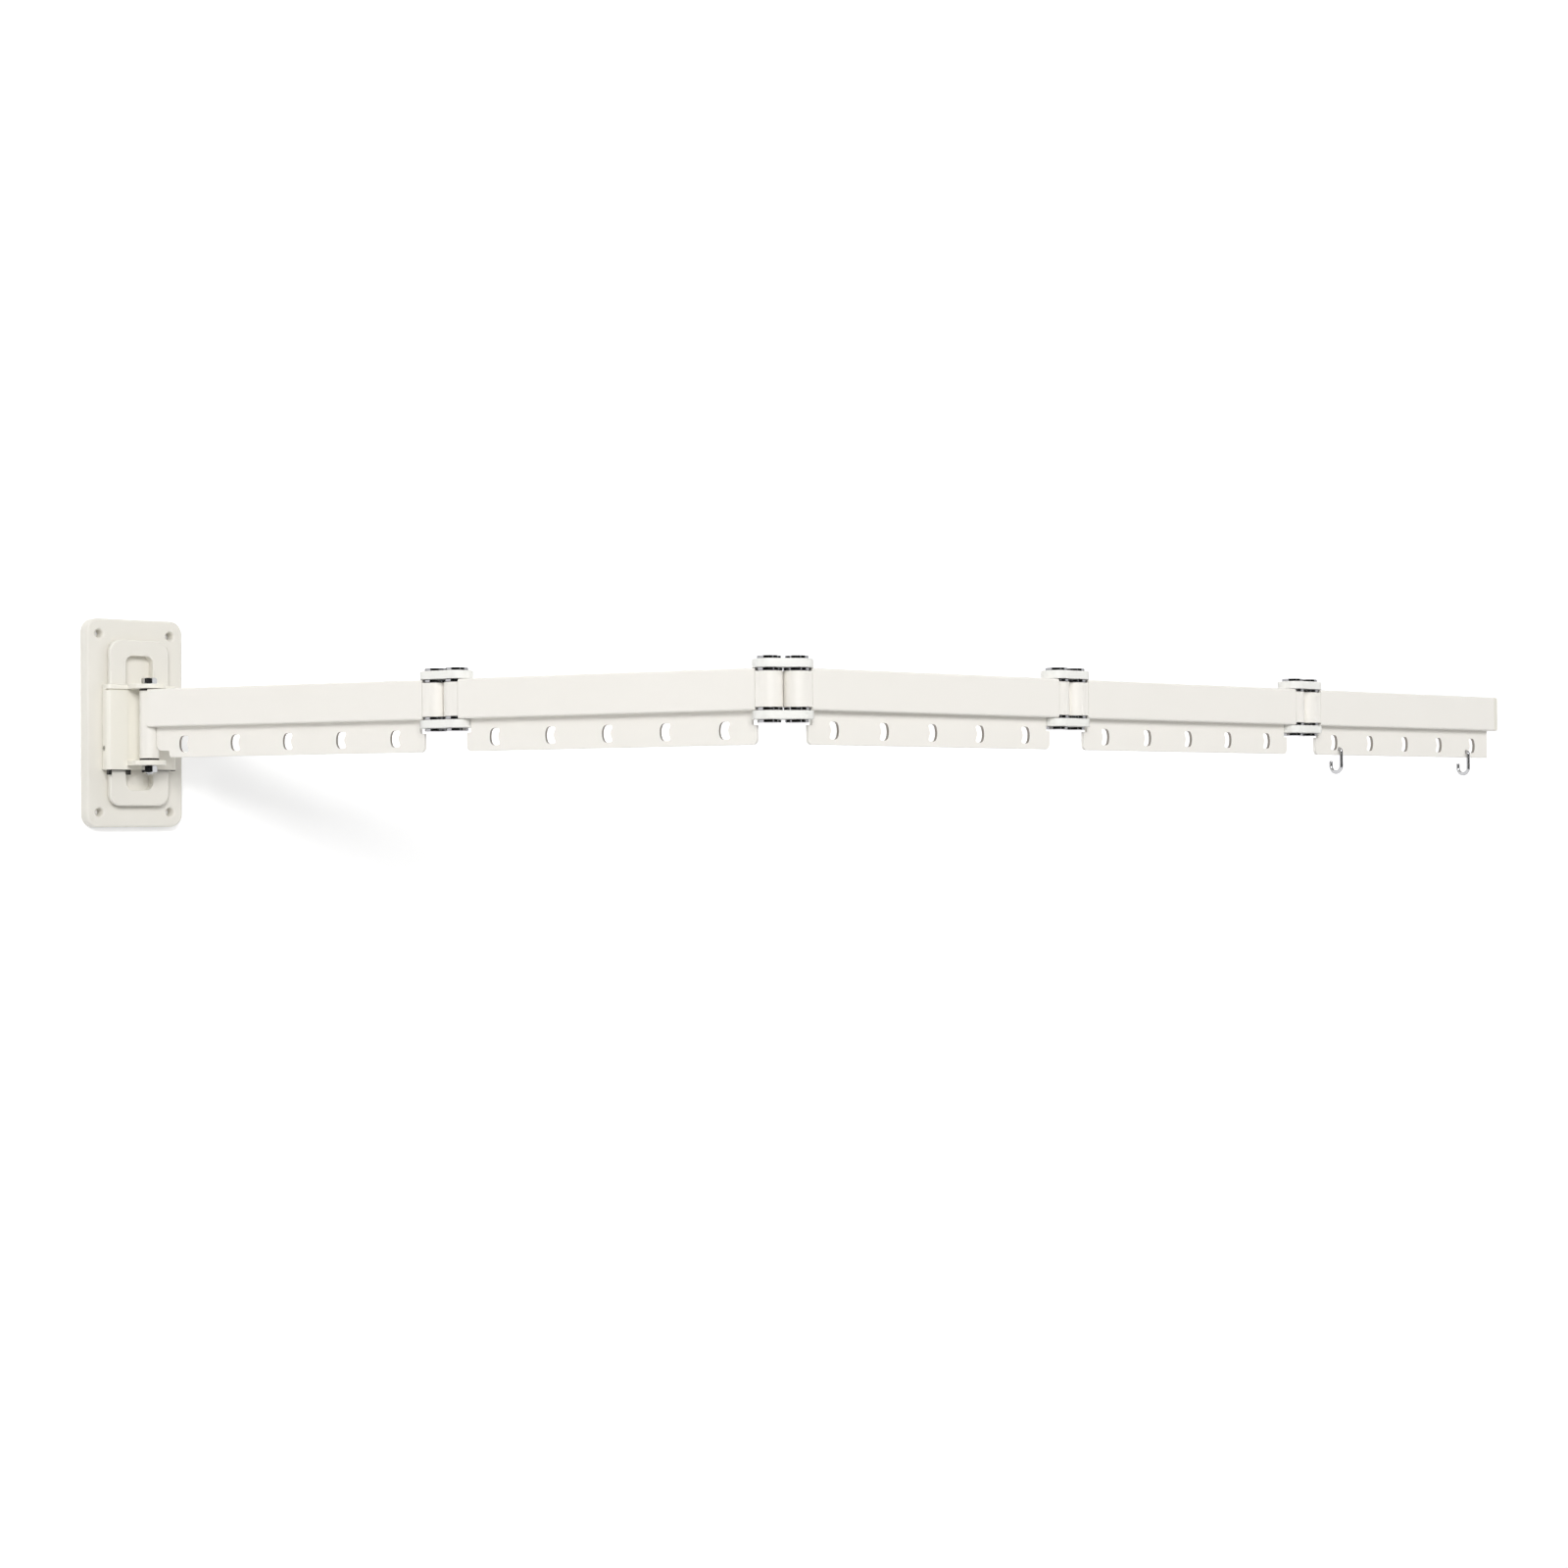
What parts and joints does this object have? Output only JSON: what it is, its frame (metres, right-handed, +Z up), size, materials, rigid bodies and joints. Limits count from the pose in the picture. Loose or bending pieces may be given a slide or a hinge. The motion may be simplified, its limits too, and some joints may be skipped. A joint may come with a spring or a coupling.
{
  "type": "wall mounted folding clothes rack",
  "caption": "Wall plate with a sliding clamped carriage and a chain of flat hinged arms, with a strip of hanger holes below each arm and wire hooks at the end.",
  "frame": {"origin": "centre of the wall plate's back face", "axes": "+Y into the wall, +Z up, +X to the right as seen from the room, along the wall and along the outer arms"},
  "size_m": [1.0587, 0.5254, 0.1586],
  "materials": {
    "arm_cream": "satin powder coat",
    "link_cream": "satin powder coat",
    "plate_cream": "satin powder coat",
    "end_cap": "matte",
    "chrome": "polished",
    "dark_steel": "oxidised"
  },
  "bodies": {
    "wall_mount": {"wall_plate": "plate_cream", "rail_loop": "plate_cream"},
    "carriage": {"carriage": "plate_cream", "clamp_screw": "dark_steel", "pivot_bolt": "chrome", "pivot_nut": "chrome", "pivot_washer_top": "dark_steel", "pivot_washer_bottom": "dark_steel"},
    "arm_1": {"arm_1": "arm_cream", "base_knuckle": "arm_cream", "knuckle_1_outer": "arm_cream"},
    "link_1": {"link_1_top": "link_cream", "link_1_bottom": "link_cream", "rivet_1_a": "chrome", "rivet_1_b": "chrome", "washer_1_a_top": "chrome", "washer_1_a_bottom": "chrome", "washer_1_b_top": "chrome", "washer_1_b_bottom": "chrome"},
    "arm_2": {"arm_2": "arm_cream", "knuckle_2_inner": "arm_cream", "knuckle_2_outer": "arm_cream"},
    "link_2": {"link_2_top": "link_cream", "link_2_bottom": "link_cream", "rivet_2_a": "chrome", "rivet_2_b": "chrome", "washer_2_a_top": "chrome", "washer_2_a_bottom": "chrome", "washer_2_b_top": "chrome", "washer_2_b_bottom": "chrome"},
    "arm_3": {"arm_3": "arm_cream", "knuckle_3_inner": "arm_cream", "knuckle_3_outer": "arm_cream"},
    "link_3": {"link_3_top": "link_cream", "link_3_bottom": "link_cream", "rivet_3_a": "chrome", "rivet_3_b": "chrome", "washer_3_a_top": "chrome", "washer_3_a_bottom": "chrome", "washer_3_b_top": "chrome", "washer_3_b_bottom": "chrome"},
    "arm_4": {"arm_4": "arm_cream", "knuckle_4_inner": "arm_cream", "knuckle_4_outer": "arm_cream"},
    "link_4": {"link_4_top": "link_cream", "link_4_bottom": "link_cream", "rivet_4_a": "chrome", "rivet_4_b": "chrome", "washer_4_a_top": "chrome", "washer_4_a_bottom": "chrome", "washer_4_b_top": "chrome", "washer_4_b_bottom": "chrome"},
    "arm_5": {"arm_5": "arm_cream", "knuckle_5_inner": "arm_cream", "end_cap": "end_cap"},
    "hook_1": {"hook_1": "chrome"},
    "hook_2": {"hook_2": "chrome"}
  },
  "joints": [
    {"name": "carriage_height", "type": "slide", "parent": "wall_mount", "child": "carriage", "axis": [0, 0, 1], "range_m": [-0.015, 0.022]},
    {"name": "arm_1_swing", "type": "hinge", "parent": "carriage", "child": "arm_1", "pos_m": [0, -0.0335, 0.0105], "axis": [0, 0, 1], "range_deg": [-113.7, 60.3]},
    {"name": "hinge_1_inner", "type": "hinge", "parent": "arm_1", "child": "link_1", "pos_m": [0.11255, -0.25729, 0.0105], "axis": [0, 0, -1], "range_deg": [-96.8, 79.2]},
    {"name": "hinge_1_outer", "type": "hinge", "parent": "link_1", "child": "arm_2", "pos_m": [0.11846, -0.27556, 0.0105], "axis": [0, 0, -1], "range_deg": [-82.2, 93.8]},
    {"name": "hinge_2_inner", "type": "hinge", "parent": "arm_2", "child": "link_2", "pos_m": [0.21914, -0.50493, 0.0105], "axis": [0, 0, 1], "range_deg": [-126.6, 49.4]},
    {"name": "hinge_2_outer", "type": "hinge", "parent": "link_2", "child": "arm_3", "pos_m": [0.23614, -0.51386, 0.0105], "axis": [0, 0, 1], "range_deg": [-115.7, 60.3]},
    {"name": "hinge_3_inner", "type": "hinge", "parent": "arm_3", "child": "link_3", "pos_m": [0.48664, -0.51386, 0.0105], "axis": [0, 0, -1], "range_deg": [-84.6, 91.4]},
    {"name": "hinge_3_outer", "type": "hinge", "parent": "link_3", "child": "arm_4", "pos_m": [0.50581, -0.51272, 0.0105], "axis": [0, 0, -1], "range_deg": [-91.4, 84.6]},
    {"name": "hinge_4_inner", "type": "hinge", "parent": "arm_4", "child": "link_4", "pos_m": [0.75631, -0.51272, 0.0105], "axis": [0, 0, 1], "range_deg": [-91.4, 84.6]},
    {"name": "hinge_4_outer", "type": "hinge", "parent": "link_4", "child": "arm_5", "pos_m": [0.77548, -0.51158, 0.0105], "axis": [0, 0, 1], "range_deg": [-84.6, 91.4]},
    {"name": "hook_1_swing", "type": "hinge", "parent": "arm_5", "child": "hook_1", "pos_m": [0.81428, -0.51158, -0.0221], "axis": [0, 1, 0], "range_deg": [-40, 40]},
    {"name": "hook_2_swing", "type": "hinge", "parent": "arm_5", "child": "hook_2", "pos_m": [0.98448, -0.51158, -0.0221], "axis": [0, 1, 0], "range_deg": [-40, 40]}
  ]
}
